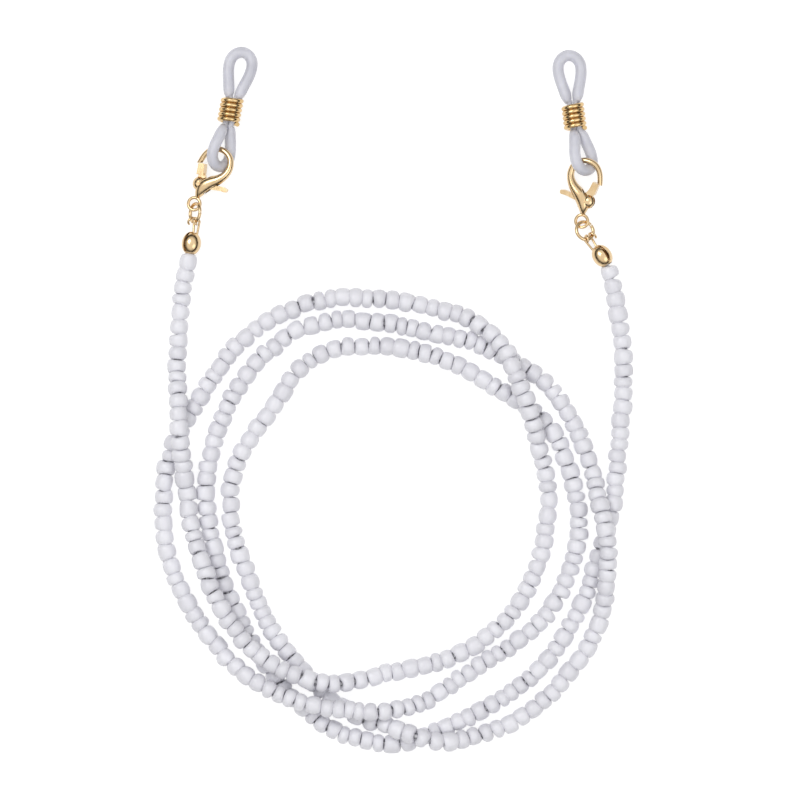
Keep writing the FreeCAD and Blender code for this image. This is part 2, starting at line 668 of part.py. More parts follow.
def add_coil(side, place):
    """A close-wound wire coil along local Y, round the waist of the silicone loop."""
    name = "coil_wrap_" + side
    spine = primitive(
        "Helix", name + "_spine", Pitch="sizes.coil_pitch", Height="sizes.coil_pitch * sizes.coil_turns",
        Radius="(sizes.coil_diameter - sizes.coil_wire) / 2")
    start = Vector((size("coil_diameter") - size("coil_wire")) / 2, 0, 0)
    wire = primitive(
        "Circle", name + "_wire", Placement(start, Rotation(Vector(0, 0, 1), Vector(0, 1, 0))),
        Radius="sizes.coil_wire / 2")
    doc.recompute()
    coil = doc.addObject("Part::Sweep", name)
    coil.Sections = [wire]
    coil.Spine = (spine, ["Edge%d" % (index + 1) for index in range(len(spine.Shape.Edges))])
    coil.Solid = True
    coil.Frenet = True
    middle = Vector(0, -size("coil_pitch") * size("coil_turns") / 2, 0)
    coil.Placement = place * Placement(middle, Rotation(Vector(1, 0, 0), -90))
    return keep(coil, name)


def show(side, what, origin, direction):
    numbers = [round(value / 1000, 6) for value in origin] + [round(value, 5) for value in direction]
    print("joint %s %s origin %s axis %s" % (side, what, numbers[:3], numbers[3:]))


def along(yaw):
    return Vector(-math.sin(math.radians(yaw)), math.cos(math.radians(yaw)), 0)


def add_end(side, corner, neighbour):
    """One end of the strap, chained outward from where the strand ends."""
    outward = corner - neighbour
    strand_yaw = math.degrees(math.atan2(-outward.x, outward.y))
    rise = math.degrees(math.asin(outward.z / outward.Length))
    crimp_shift = Placement(Vector(0, -size("crimp_shift"), 0), Rotation())
    add_crimp(side, frame(corner, strand_yaw, rise) * crimp_shift)

    yaw = strand_yaw + size(side + "_tip_turn")
    roll = size(side + "_tip_roll")
    tip_place = frame(corner, yaw, size(side + "_tip_pitch"), roll)
    add_bead_tip(side, tip_place)

    ring_radius = size("ring_radius")
    hooks = tip_place.multVec(Vector(0, size("tip_hook_reach"), 0))
    ring_place = frame(hooks + along(yaw) * ring_radius, yaw, 0, roll + size(side + "_ring_twist"))
    add_jump_ring(side, ring_place)
    grip = ring_radius * (1 - math.cos(math.radians(size("tip_hook_spread")))) / 2
    show(side, "jump_ring", ring_place.multVec(Vector(0, grip - ring_radius, 0)),
         ring_place.Rotation.multVec(Vector(1, 0, 0)))

    link = math.radians(size(side + "_link_angle"))
    contact = ring_place.multVec(Vector(math.sin(link), math.cos(link), 0) * ring_radius)
    tail = contact + along(size(side + "_link_yaw")) * size(side + "_link_hang")
    clasp_place = frame(
        tail, size(side + "_clasp_yaw"), size(side + "_clasp_pitch"), size(side + "_clasp_roll"))
    add_clasp_body(side, clasp_place)
    add_gate(side, clasp_place)
    add_rivet(side, clasp_place)
    add_spring(side, clasp_place)
    show(side, "clasp", contact, ring_place.Rotation.multVec(Vector(math.cos(link), -math.sin(link), 0)))
    show(side, "gate", clasp_place.multVec(PIVOT), clasp_place.Rotation.multVec(Vector(0, 0, 1)))

    catch = clasp_place.multVec(Vector(*HOOK_CATCH[side], 0) * scale)
    coil_yaw = size(side + "_coil_yaw")
    hold = size("clasp_eye_length") - size("tube_diameter") / 2 - HOOK_HALF_WIRE * scale
    hold -= size(side + "_hook_slack")
    coil_centre = catch + along(coil_yaw + size(side + "_clasp_bend")) * hold
    coil_centre += along(coil_yaw - 90) * size(side + "_hook_offset")
    coil_centre.z = size("loop_height")
    loop_place = frame(coil_centre, coil_yaw)
    add_silicone_loop(side, loop_place)
    add_coil(side, loop_place)
    show(side, "loop", catch, clasp_place.Rotation.multVec(Vector(*HOOK_CATCH_WAY[side], 0)))
    show(side, "coil", coil_centre, loop_place.Rotation.multVec(Vector(0, 1, 0)))


add_end("left", points[0], points[1])
add_end("right", points[-1], points[-2])


# ---------------------------------------------------------------- check and write
doc.recompute()
for item in doc.Objects:
    state = [mark for mark in item.State if mark in ("Invalid", "Error")]
    if state:
        raise RuntimeError("%s is %s" % (item.Label, state))
for item in parts:
    if item.Shape.isNull() or not item.Shape.isValid():
        raise RuntimeError("%s has no valid shape" % item.Label)
    print("%-20s %3d solids %9.3f mm3" % (item.Label, len(item.Shape.Solids), item.Shape.Volume))

os.makedirs("parts", exist_ok=True)
for item in parts:
    item.Shape.exportStep("parts/%s.step" % item.Label)
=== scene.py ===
import json
import math

import bpy
import numpy as np
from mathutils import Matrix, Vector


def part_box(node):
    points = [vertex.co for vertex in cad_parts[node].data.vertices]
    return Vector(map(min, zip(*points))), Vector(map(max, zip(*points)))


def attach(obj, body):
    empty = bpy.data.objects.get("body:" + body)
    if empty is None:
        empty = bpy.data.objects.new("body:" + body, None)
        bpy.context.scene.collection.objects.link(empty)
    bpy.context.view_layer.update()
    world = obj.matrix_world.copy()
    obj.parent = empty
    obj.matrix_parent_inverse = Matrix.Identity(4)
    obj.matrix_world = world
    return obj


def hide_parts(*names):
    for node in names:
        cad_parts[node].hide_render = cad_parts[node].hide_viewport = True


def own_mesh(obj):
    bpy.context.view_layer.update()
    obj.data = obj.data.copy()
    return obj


# Beaded eyeglass retainer strap, lying in loose loops with its two end fittings at the top.
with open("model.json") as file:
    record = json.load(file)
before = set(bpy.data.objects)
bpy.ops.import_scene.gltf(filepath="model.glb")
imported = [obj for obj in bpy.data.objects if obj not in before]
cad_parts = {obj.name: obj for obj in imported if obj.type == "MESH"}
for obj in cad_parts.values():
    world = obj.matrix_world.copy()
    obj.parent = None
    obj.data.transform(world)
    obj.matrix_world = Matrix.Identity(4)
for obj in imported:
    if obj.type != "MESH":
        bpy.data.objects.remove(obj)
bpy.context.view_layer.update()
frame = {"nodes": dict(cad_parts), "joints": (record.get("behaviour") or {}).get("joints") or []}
nodes = frame["nodes"]
joints = {joint["name"]: joint for joint in frame["joints"]}
sides = ("left", "right")
mm = 0.001
print("frame loaded:", len(nodes), "nodes")


# Camera
view = {
    "centre": (0.32 * mm, -39.0 * mm),  # point below the camera
    "field": 128 * mm,                  # width seen at the strap
    "height": 0.9,
    "sensor": 36.0,
}
cameraData = bpy.data.cameras.new("topCamera")
cameraData.sensor_width = view["sensor"]
cameraData.lens = view["sensor"] * view["height"] / view["field"]
cameraData.clip_start = 0.05
cameraData.clip_end = 10
camera = bpy.data.objects.new("topCamera", cameraData)
camera.location = (*view["centre"], view["height"])
bpy.context.scene.collection.objects.link(camera)
bpy.context.scene.camera = camera
print("camera set")


# Materials
def newMaterial(name):
    # An empty node material, its shader and its tree.
    material = bpy.data.materials.new(name)
    material.use_nodes = True
    tree = material.node_tree
    tree.nodes.clear()
    shader = tree.nodes.new("ShaderNodeBsdfPrincipled")
    output = tree.nodes.new("ShaderNodeOutputMaterial")
    tree.links.new(shader.outputs["BSDF"], output.inputs["Surface"])
    return material, tree, shader


def noiseOn(tree, scale, detail=2.0, stretch=(1, 1, 1)):
    # Noise on Object coordinates, so that it stays on the piece.
    where = tree.nodes.new("ShaderNodeTexCoord")
    mapping = tree.nodes.new("ShaderNodeMapping")
    mapping.inputs["Scale"].default_value = stretch
    noise = tree.nodes.new("ShaderNodeTexNoise")
    noise.inputs["Scale"].default_value = scale
    noise.inputs["Detail"].default_value = detail
    tree.links.new(where.outputs["Object"], mapping.inputs["Vector"])
    tree.links.new(mapping.outputs["Vector"], noise.inputs["Vector"])
    return noise.outputs["Fac"]


def rampOn(tree, value, stops):
    # Colours or greys spread over a value; a stop is (place, colour).
    ramp = tree.nodes.new("ShaderNodeValToRGB")
    band = ramp.color_ramp
    while len(band.elements) < len(stops):
        band.elements.new(0.5)
    for element, (place, colour) in zip(band.elements, stops):
        element.position = place
        element.color = (*colour, 1)
    tree.links.new(value, ramp.inputs["Fac"])
    return ramp.outputs["Color"]


def mixOn(tree, share, first, second, blend="MIX"):
    mix = tree.nodes.new("ShaderNodeMix")
    mix.data_type = "RGBA"
    mix.blend_type = blend
    for socket, value in ((mix.inputs[0], share), (mix.inputs[6], first), (mix.inputs[7], second)):
        if hasattr(value, "is_output"):
            tree.links.new(value, socket)
        elif isinstance(value, tuple):
            socket.default_value = (*value, 1)
        else:
            socket.default_value = value
    return mix.outputs[2]


def bumpOn(tree, height, distance, strength=1.0, under=None):
    bump = tree.nodes.new("ShaderNodeBump")
    bump.inputs["Strength"].default_value = strength
    bump.inputs["Distance"].default_value = distance
    tree.links.new(height, bump.inputs["Height"])
    if under is not None:
        tree.links.new(under, bump.inputs["Normal"])
    return bump.outputs["Normal"]


beadFinish = {
    "pale": (0.735, 0.732, 0.775),
    "deep": (0.665, 0.660, 0.705),
    "roughness": (0.34, 0.52),
    "grainScale": 2600,
    "grainHeight": 0.012 * mm,
    "ridgeHeight": 0.022 * mm,
}


def makeBeadMaterial():
    # Pressed opaque glass: each bead's own tone, faint rings round it and a fine grain.
    material, tree, shader = newMaterial("opaqueWhiteGlass")
    tone = tree.nodes.new("ShaderNodeAttribute")
    tone.attribute_name = "beadTone"
    ring = tree.nodes.new("ShaderNodeAttribute")
    ring.attribute_name = "beadRing"
    cloud = noiseOn(tree, 420, 3)
    tint = mixOn(tree, 0.45, tone.outputs["Color"], cloud)
    tree.links.new(rampOn(tree, tint, [
        (0.15, beadFinish["deep"]), (0.75, beadFinish["pale"])]), shader.inputs["Base Color"])
    low, high = beadFinish["roughness"]
    tree.links.new(rampOn(tree, cloud, [
        (0.3, (low, low, low)), (0.7, (high, high, high))]), shader.inputs["Roughness"])
    grain = noiseOn(tree, beadFinish["grainScale"], 3)
    grainNormal = bumpOn(tree, grain, beadFinish["grainHeight"])
    tree.links.new(
        bumpOn(tree, ring.outputs["Fac"], beadFinish["ridgeHeight"], 1.0, grainNormal), shader.inputs["Normal"])
    shader.inputs["Subsurface Weight"].default_value = 0.12
    shader.inputs["Subsurface Radius"].default_value = (0.6, 0.6, 0.65)
    shader.inputs["Subsurface Scale"].default_value = 1.2 * mm
    shader.inputs["Coat Weight"].default_value = 0.12
    shader.inputs["Coat Roughness"].default_value = 0.3
    return material


threadFinish = {
    "pale": (0.83, 0.83, 0.85),
    # deep: painted shade, which falls in the grooves between the strands where the bump is low
    "deep": (0.55, 0.55, 0.60),
    "twistPerMetre": 2200,
}


def makeThreadMaterial():
    # Twisted nylon: slanting strands that run along the thread's own UV, with painted shade in the low grooves
    # between the strands.
    material, tree, shader = newMaterial("twistedNylon")
    place = tree.nodes.new("ShaderNodeTexCoord")
    mapping = tree.nodes.new("ShaderNodeMapping")
    mapping.inputs["Scale"].default_value = (threadFinish["twistPerMetre"], 3.0, 1.0)
    wave = tree.nodes.new("ShaderNodeTexWave")
    wave.bands_direction = "DIAGONAL"
    wave.inputs["Scale"].default_value = 1.0
    tree.links.new(place.outputs["UV"], mapping.inputs["Vector"])
    tree.links.new(mapping.outputs["Vector"], wave.inputs["Vector"])
    # The same wave makes the bump, so the deep tone lies in its grooves: painted shade between the strands.
    tree.links.new(rampOn(tree, wave.outputs["Fac"], [
        (0.0, threadFinish["deep"]), (0.7, threadFinish["pale"])]), shader.inputs["Base Color"])
    tree.links.new(bumpOn(tree, wave.outputs["Fac"], 0.03 * mm), shader.inputs["Normal"])
    shader.inputs["Roughness"].default_value = 0.6
    shader.inputs["Sheen Weight"].default_value = 0.2
    return material


def makeMetal(name, pale, deep, low, high, grainHeight):
    # Polished plating: a slightly uneven tone and gloss, with fine handling marks.
    material, tree, shader = newMaterial(name)
    cloud = noiseOn(tree, 700, 3)
    marks = noiseOn(tree, 2600, 4, (1.0, 0.25, 1.0))
    tree.links.new(rampOn(tree, cloud, [(0.3, deep), (0.7, pale)]), shader.inputs["Base Color"])
    tree.links.new(rampOn(tree, marks, [
        (0.3, (low, low, low)), (0.75, (high, high, high))]), shader.inputs["Roughness"])
    tree.links.new(bumpOn(tree, marks, grainHeight), shader.inputs["Normal"])
    shader.inputs["Metallic"].default_value = 1.0
    return material


siliconeFinish = {
    "pale": (0.600, 0.600, 0.650),
    "deep": (0.500, 0.500, 0.550),
    "speck": (0.10, 0.09, 0.12),
    "speckScale": 620,
}


def makeSiliconeMaterial():
    # Cloudy matt silicone with a little depth, and a few tiny dark specks of dust.
    material, tree, shader = newMaterial("cloudySilicone")
    cloud = noiseOn(tree, 300, 3)
    body = rampOn(tree, cloud, [(0.3, siliconeFinish["deep"]), (0.7, siliconeFinish["pale"])])
    where = tree.nodes.new("ShaderNodeTexCoord")
    cells = tree.nodes.new("ShaderNodeTexVoronoi")
    cells.inputs["Scale"].default_value = siliconeFinish["speckScale"]
    tree.links.new(where.outputs["Object"], cells.inputs["Vector"])
    specks = rampOn(tree, cells.outputs["Distance"], [(0.075, (1, 1, 1)), (0.11, (0, 0, 0))])
    rare = rampOn(tree, cells.outputs["Color"], [(0.62, (0, 0, 0)), (0.66, (1, 1, 1))])
    shown = mixOn(tree, 1.0, specks, rare, "MULTIPLY")
    tree.links.new(mixOn(tree, shown, body, siliconeFinish["speck"]), shader.inputs["Base Color"])
    tree.links.new(bumpOn(tree, noiseOn(tree, 2200, 3), 0.015 * mm), shader.inputs["Normal"])
    shader.inputs["Roughness"].default_value = 0.42
    shader.inputs["Subsurface Weight"].default_value = 0.45
    shader.inputs["Subsurface Radius"].default_value = (0.9, 0.9, 1.0)
    shader.inputs["Subsurface Scale"].default_value = 1.5 * mm
    shader.inputs["Sheen Weight"].default_value = 0.1
    return material


beadMaterial = makeBeadMaterial()
threadMaterial = makeThreadMaterial()
goldMaterial = makeMetal("paleGoldPlating", (0.76, 0.57, 0.34), (0.63, 0.45, 0.25), 0.14, 0.26, 0.006 * mm)
coilMaterial = makeMetal("goldWire", (0.75, 0.53, 0.27), (0.60, 0.41, 0.19), 0.15, 0.28, 0.006 * mm)
springMaterial = makeMetal("springSteel", (0.62, 0.61, 0.58), (0.48, 0.47, 0.45), 0.22, 0.38, 0.005 * mm)
siliconeMaterial = makeSiliconeMaterial()
print("materials made")


def dress(piece, material):
    # One material over the whole piece.
    piece.data.materials.clear()
    piece.data.materials.append(material)


def newPiece(name, points, faces, material, smooth=True):
    # A mesh object at the origin, from points in metres.
    mesh = bpy.data.meshes.new(name)
    mesh.from_pydata(points.tolist(), [], faces.tolist())
    mesh.update()
    mesh.polygons.foreach_set("use_smooth", np.full(len(mesh.polygons), smooth))
    piece = bpy.data.objects.new(name, mesh)
    bpy.context.scene.collection.objects.link(piece)
    dress(piece, material)
    return piece


# Thread: one smooth line through the whole strap
thread = {
    "diameter": 0.6 * mm,
    "length": 0.777,
    "sidesPerQuarter": 3,
}
route = np.array([
    (-33.0, -14.0, 1.65), (-33.4, -16.3, 1.6), (-34.2, -19.8, 1.52), (-34.9, -24.3, 1.52),
    (-35.1, -29.4, 1.52), (-35.3, -34.0, 2.18), (-35.1, -38.3, 3.81), (-34.9, -42.5, 4.79),
    (-34.6, -46.5, 4.58), (-33.9, -50.5, 3.16), (-33.7, -55.0, 2.4), (-33.0, -59.5, 3.05),
    (-31.5, -63.9, 4.25), (-30.1, -68.6, 4.74), (-27.5, -73.5, 4.74), (-24.3, -77.9, 4.74),
    (-20.2, -81.2, 4.74), (-15.8, -83.1, 4.79), (-12.2, -84.1, 4.58), (-8.2, -84.2, 3.16),
    (-3.8, -83.2, 1.74), (1.4, -82.0, 1.52), (7.8, -80.6, 1.52), (13.8, -77.5, 1.52),
    (18.6, -72.9, 1.52), (21.8, -67.1, 1.52), (23.6, -60.6, 1.52), (24.1, -54.5, 1.52),
    (23.5, -49.5, 1.63), (22.2, -45.9, 2.83), (21.4, -42.3, 4.36), (20.5, -39.0, 4.79),
    (19.0, -35.6, 4.68), (17.7, -31.9, 4.79), (15.2, -28.6, 3.92), (11.8, -26.0, 2.29),
    (7.5, -24.7, 1.52), (1.1, -23.2, 1.52), (-6.4, -22.5, 1.52), (-13.9, -23.2, 1.52),
    (-20.6, -26.0, 1.52), (-25.9, -30.2, 1.52), (-30.2, -36.1, 1.52), (-33.3, -41.5, 1.52),
    (-36.2, -46.5, 1.52), (-37.6, -52.9, 1.52), (-37.6, -59.8, 1.52), (-36.2, -66.2, 1.52),
    (-33.3, -72.4, 1.52), (-29.4, -77.7, 1.63), (-26.6, -81.2, 2.4), (-23.2, -83.8, 4.03),
    (-19.4, -85.7, 4.79), (-15.2, -87.3, 4.79), (-10.7, -88.0, 4.79), (-6.4, -88.5, 4.9),
    (-2.4, -88.7, 4.85), (1.6, -88.1, 3.27), (5.4, -86.6, 1.74), (9.6, -83.7, 1.52),
    (15.5, -79.9, 1.52), (21.6, -75.9, 1.52), (26.1, -70.2, 1.52), (28.4, -63.8, 1.52),
    (29.1, -57.5, 1.52), (27.8, -51.3, 1.52), (25.9, -45.7, 1.52), (22.4, -41.0, 1.52),
    (16.8, -37.7, 1.52), (10.7, -33.9, 1.52), (4.3, -31.3, 1.52), (-3.2, -30.2, 1.52),
    (-10.1, -30.4, 1.52), (-15.5, -33.2, 1.52), (-18.9, -38.7, 1.52), (-22.9, -43.9, 1.52),
    (-26.1, -49.2, 1.52), (-27.1, -55.8, 1.52), (-25.8, -62.5, 1.52), (-23.2, -69.2, 1.52),
    (-20.7, -75.3, 1.52), (-16.6, -80.7, 1.52), (-12.2, -85.7, 1.52), (-7.7, -89.1, 1.52),
    (-4.0, -90.3, 1.85), (-0.8, -91.3, 3.2), (2.2, -92.3, 4.74), (5.8, -93.5, 4.47),
    (9.3, -93.4, 3.05), (13.4, -92.4, 1.74), (18.9, -90.4, 1.52), (24.6, -86.0, 1.52),
    (29.6, -79.9, 1.52), (32.2, -74.5, 1.74), (33.1, -70.0, 3.05), (33.6, -65.4, 4.36),
    (33.4, -60.9, 4.79), (32.5, -56.7, 4.25), (31.5, -52.9, 2.61), (30.7, -48.7, 1.63),
    (28.0, -42.3, 1.52), (24.2, -36.3, 1.52), (18.2, -32.7, 1.52), (12.5, -29.7, 1.52),
    (5.4, -28.2, 1.52), (-1.9, -26.7, 1.52), (-9.6, -25.9, 1.52), (-17.0, -27.9, 1.52),
    (-23.2, -33.4, 1.52), (-26.9, -39.1, 1.52), (-29.6, -45.9, 1.52), (-31.0, -52.9, 1.52),
    (-30.2, -59.8, 1.52), (-28.4, -66.7, 1.52), (-25.4, -74.2, 1.52), (-21.4, -81.2, 1.52),
    (-16.6, -87.2, 1.52), (-10.6, -92.0, 1.52), (-4.5, -93.7, 1.52), (0.6, -94.1, 1.52),
    (5.1, -92.3, 1.52), (10.2, -90.1, 1.52), (16.3, -87.1, 1.52), (22.2, -82.8, 1.52),
    (27.2, -75.9, 1.52), (30.6, -69.4, 1.52), (31.9, -63.9, 1.52), (33.6, -59.5, 1.52),
    (34.6, -54.5, 1.52), (35.1, -47.9, 1.52), (35.7, -40.9, 1.52), (36.2, -34.5, 1.52),
    (35.8, -28.1, 1.52), (34.7, -23.5, 1.52), (34.4, -20.6, 1.58), (33.7, -17.9, 1.6),
    (32.6, -16.0, 1.65),
]) * mm


def makeThreadLine(name, points, radius):
    # A quadratic spline with the route's points as its control points.
    curve = bpy.data.curves.new(name, "CURVE")
    curve.dimensions = "3D"
    curve.resolution_u = 12
    curve.bevel_depth = radius
    curve.bevel_resolution = thread["sidesPerQuarter"]
    curve.use_fill_caps = True
    spline = curve.splines.new("NURBS")
    spline.points.add(len(points) - 1)
    spline.points.foreach_set("co", np.column_stack([points, np.ones(len(points))]).ravel())
    spline.order_u = 3
    spline.use_endpoint_u = True
    line = bpy.data.objects.new(name, curve)
    bpy.context.scene.collection.objects.link(line)
    return line


def linePoints(line):
    # Points along a curve's own line, read with its thickness off.
    depth = line.data.bevel_depth
    line.data.bevel_depth = 0
    mesh = bpy.data.meshes.new_from_object(line)
    found = np.zeros(len(mesh.vertices) * 3)
    mesh.vertices.foreach_get("co", found)
    bpy.data.meshes.remove(mesh)
    line.data.bevel_depth = depth
    return found.reshape(-1, 3)


threadLine = makeThreadLine("beadThread", route, thread["diameter"] / 2)
dress(threadLine, threadMaterial)
strandPoints = linePoints(threadLine)
strandSteps = np.linalg.norm(np.diff(strandPoints, axis=0), axis=1)
strandAt = np.concatenate([[0], np.cumsum(strandSteps)])
strandLength = strandAt[-1]
print("thread laid, %.1f mm" % (strandLength / mm))


def alongStrand(distances):
    # Where the thread is, and which way it runs, at distances along it.
    reach = 0.4 * mm
    places = np.column_stack([np.interp(distances, strandAt, strandPoints[:, axis]) for axis in range(3)])
    ahead = np.column_stack([np.interp(distances + reach, strandAt, strandPoints[:, axis]) for axis in range(3)])
    behind = np.column_stack([np.interp(distances - reach, strandAt, strandPoints[:, axis]) for axis in range(3)])
    ways = ahead - behind
    return places, ways / np.linalg.norm(ways, axis=1)[:, None]


# Beads
bead = {
    "count": 372,
    "perRun": 31,
    "runs": 12,
    "diameter": 3.05 * mm,
    "length": 1.95 * mm,
    "swell": 1.08,        # how far a bead's length fills its place
    "bore": 1.0 * mm,
    "shoulder": 0.55 * mm,
    "gap": 0.05 * mm,
    "start": 1.9 * mm,
    "sides": 14,
    "squareness": 0.82,   # 1 is an oval outline, 0 a square one
    "endWidth": 0.25 * mm,  # flat part of an end, outside the bore
    "wedge": 0.22,        # how much longer one side is than the other
    "tilt": 9.0,          # degrees
    "shift": 0.20 * mm,   # off the thread's line
    "out": 0.05,          # out of round
    "ridges": 3,
}


def unevenNumbers(indices, kind):
    # The same scattered number from 0 to 1 for an index each time: the fraction of a large sine.
    value = np.sin(12.9898 * (indices + 1) + 78.233 * kind) * 43758.5453
    return value - np.floor(value)


def threadBeads():
    # Beads one against the next, the spare length shared among the gaps: centres, lengths, radii.
    indices = np.arange(bead["count"])
    lengths = bead["length"] * (0.76 + 0.48 * unevenNumbers(indices, 1))
    radii = bead["diameter"] / 2 * (0.94 + 0.10 * unevenNumbers(indices, 2))
    steps = (lengths[1:] + lengths[:-1]) / 2 + bead["gap"]
    centres = bead["start"] + lengths[0] / 2 + np.concatenate([[0], np.cumsum(steps)])
    for attempt in range(3):  # bends need a little more room, and the room moves the bends
        ways = alongStrand(centres)[1]
        turns = np.arccos(np.clip(np.sum(ways[1:] * ways[:-1], axis=1), -1, 1))
        roomy = steps + (radii[:-1] - bead["shoulder"]) * turns
        spare = strandLength - bead["start"] * 2 - lengths[0] / 2 - lengths[-1] / 2 - roomy.sum()
        centres = bead["start"] + lengths[0] / 2 + np.concatenate([[0], np.cumsum(roomy + spare / len(roomy))])
    print("beads threaded, %.4f mm spare at each" % (spare / len(roomy) / mm))
    return indices, centres, lengths, radii


def beadMeshes(indices, centres, lengths, radii):
    # Points of every bead at once, as (bead, ring, side, xyz). A bead's profile is a rounded rectangle,
    # with both its height and its breadth raised to a power of their sine and cosine, and it closes through
    # the bore. One side is longer by a cosine of the angle round it, and its rim wavers a little.
    places, ways = alongStrand(centres)
    count = len(indices)
    sides = bead["sides"]
    scatter = [unevenNumbers(indices, kind)[:, None, None] for kind in range(3, 12)]
    latitude = np.radians([-90, -64, -38, -12, 12, 38, 64, 90])[None, :, None]
    around = (2 * math.pi * np.arange(sides) / sides)[None, None, :]
    power = bead["squareness"] * (0.75 + 0.5 * scatter[0])
    core = bead["bore"] / 2 + bead["endWidth"]
    halfLengths = (bead["swell"] * lengths / 2)[:, None, None]
    outer = radii[:, None, None]
    height = halfLengths * np.sign(latitude) * np.abs(np.sin(latitude)) ** power
    breadth = core + (outer - core) * np.abs(np.cos(latitude)) ** power
    waver = 1 + bead["out"] * (0.5 * scatter[1] * np.cos(2 * (around - 6.28 * scatter[2]))
                               + 0.4 * scatter[3] * np.cos(3 * (around - 6.28 * scatter[4])) - 0.25)
    radius = breadth * waver
    lean = 1 + bead["wedge"] * (2 * scatter[5] - 1) * np.cos(around - 6.28 * scatter[6])
    z = height * lean
    bulge = 1 + 0.05 * (scatter[7] - 0.5) * height / halfLengths
    local = np.stack([radius * bulge * np.cos(around), radius * bulge * np.sin(around), z + 0 * around], axis=3)
    boreLine = np.stack([
        bead["bore"] / 2 * np.cos(around) + 0 * halfLengths,
        bead["bore"] / 2 * np.sin(around) + 0 * halfLengths, 0 * around + 0 * halfLengths], axis=3)
    top = boreLine.copy()
    top[..., 2] = local[:, -1:, :, 2] * 0.94
    bottom = boreLine.copy()
    bottom[..., 2] = local[:, :1, :, 2] * 0.94
    local = np.concatenate([local, top, bottom], axis=1)

    tilt = np.radians(bead["tilt"]) * (2 * unevenNumbers(indices, 13) - 1)
    tiltWay = 2 * math.pi * unevenNumbers(indices, 14)
    up = np.array([0.0, 0.0, 1.0])
    across = np.cross(ways, up)
    across /= np.linalg.norm(across, axis=1)[:, None]
    over = np.cross(across, ways)
    leant = ways + np.tan(tilt)[:, None] * (np.cos(tiltWay)[:, None] * across + np.sin(tiltWay)[:, None] * over)
    leant /= np.linalg.norm(leant, axis=1)[:, None]
    across = np.cross(leant, up)
    across /= np.linalg.norm(across, axis=1)[:, None]
    over = np.cross(across, leant)
    shift = bead["shift"] * unevenNumbers(indices, 15)
    shiftWay = 2 * math.pi * unevenNumbers(indices, 16)
    middles = places + shift[:, None] * (np.cos(shiftWay)[:, None] * across + 0.4 * np.sin(shiftWay)[:, None] * over)
    world = (middles[:, None, None, :]
             + local[..., 0:1] * across[:, None, None, :]
             + local[..., 1:2] * over[:, None, None, :]
             + local[..., 2:3] * leant[:, None, None, :])
    lowest = world[..., 2].min(axis=(1, 2))
    resting = (places[:, 2] < 1.8 * mm) | (lowest < 0)
    drop = np.where(resting, lowest - 0.01 * mm, 0)
    world[..., 2] -= drop[:, None, None]
    ringHeight = 0.5 + 0.5 * np.sin(2 * math.pi * bead["ridges"] * (height / halfLengths + scatter[8]))
    ringHeight = np.concatenate([ringHeight + 0 * around, 0 * top[..., 0], 0 * top[..., 0]], axis=1)
    return world, ringHeight.reshape(count, -1)


def quadsOf(rings, sides):
    # Faces between neighbouring rings, and from the last ring back to the first.
    ring, side = np.meshgrid(np.arange(rings), np.arange(sides), indexing="ij")
    after = (side + 1) % sides
    above = (ring + 1) % rings
    return np.stack([ring * sides + side, ring * sides + after, above * sides + after, above * sides + side],
                    axis=-1).reshape(-1, 4)


def makeBeadRuns():
    indices, centres, lengths, radii = threadBeads()
    world, ringHeight = beadMeshes(indices, centres, lengths, radii)
    tones = unevenNumbers(indices, 17)
    perBead = world.shape[1] * world.shape[2]
    quads = quadsOf(world.shape[1], world.shape[2])
    runs = []
    for run in range(bead["runs"]):
        chosen = slice(run * bead["perRun"], (run + 1) * bead["perRun"])
        part = world[chosen]
        faces = (quads[None] + (np.arange(len(part)) * perBead)[:, None, None]).reshape(-1, 4)
        name = "beads_run_%02d" % (run + 1)
        piece = newPiece("seedBeads_%02d" % (run + 1), part.reshape(-1, 3), faces, beadMaterial)
        for attribute, values in (
                ("beadTone", np.repeat(tones[chosen], perBead)), ("beadRing", ringHeight[chosen].ravel())):
            layer = piece.data.attributes.new(attribute, "FLOAT", "POINT")
            layer.data.foreach_set("value", values.astype(np.float32))
        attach(piece, "strand")
        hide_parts(name)
        runs.append(piece)
    return runs


beadRuns = makeBeadRuns()
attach(threadLine, "strand")
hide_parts("thread")
print("bead runs made:", len(beadRuns))


# Silicone loops
loop = {
    "tube": 1.8 * mm,
    "armGap": 0.02 * mm,
    "waist": 4.6 * mm,
    "templeLength": 9.85 * mm,
    "templeGap": 0.92 * mm,
    "templeBend": 7.70 * mm,
    "templeDroop": 7.0,
    "claspLength": 8.9 * mm,
    "claspGap": 0.95 * mm,
    "claspBend": 7.0 * mm,
    "claspRoll": 44.0,
    "sides": 20,
    "keep": 0.5,
    # an arm: half of the gap, distance from the coil's middle, and share of the tube left
    "templeArm": [(0.00, 0.0, 0.53), (0.00, 1.2, 0.53), (0.00, 2.20, 0.53), (0.00, 2.55, 0.72),
                  (0.01, 3.00, 0.90), (0.08, 3.60, 1.0), (0.28, 4.40, 1.0), (0.58, 5.50, 1.0), (0.82, 6.60, 1.0)],
    "claspArm": [(0.00, 0.0, 0.53), (0.00, 1.2, 0.53), (0.00, 2.20, 0.53), (0.00, 2.55, 0.72),
                 (0.01, 3.00, 0.90), (0.10, 3.60, 1.0), (0.43, 4.60, 1.0), (0.83, 5.90, 1.0)],
}
lie = {
    "left": {"templeYaw": -2.1, "claspYaw": -2.0, "claspRise": 3.5},
    "right": {"templeYaw": -2.7, "claspYaw": 5.2, "claspRise": 3.3},
}


def turnAbout(axis, degrees):
    # The matrix of a turn about x, y or z.
    c, s = math.cos(math.radians(degrees)), math.sin(math.radians(degrees))
    return {
        "x": np.array([[1, 0, 0], [0, c, -s], [0, s, c]]),
        "y": np.array([[c, 0, s], [0, 1, 0], [-s, 0, c]]),
        "z": np.array([[c, -s, 0], [s, c, 0], [0, 0, 1]]),
    }[axis]


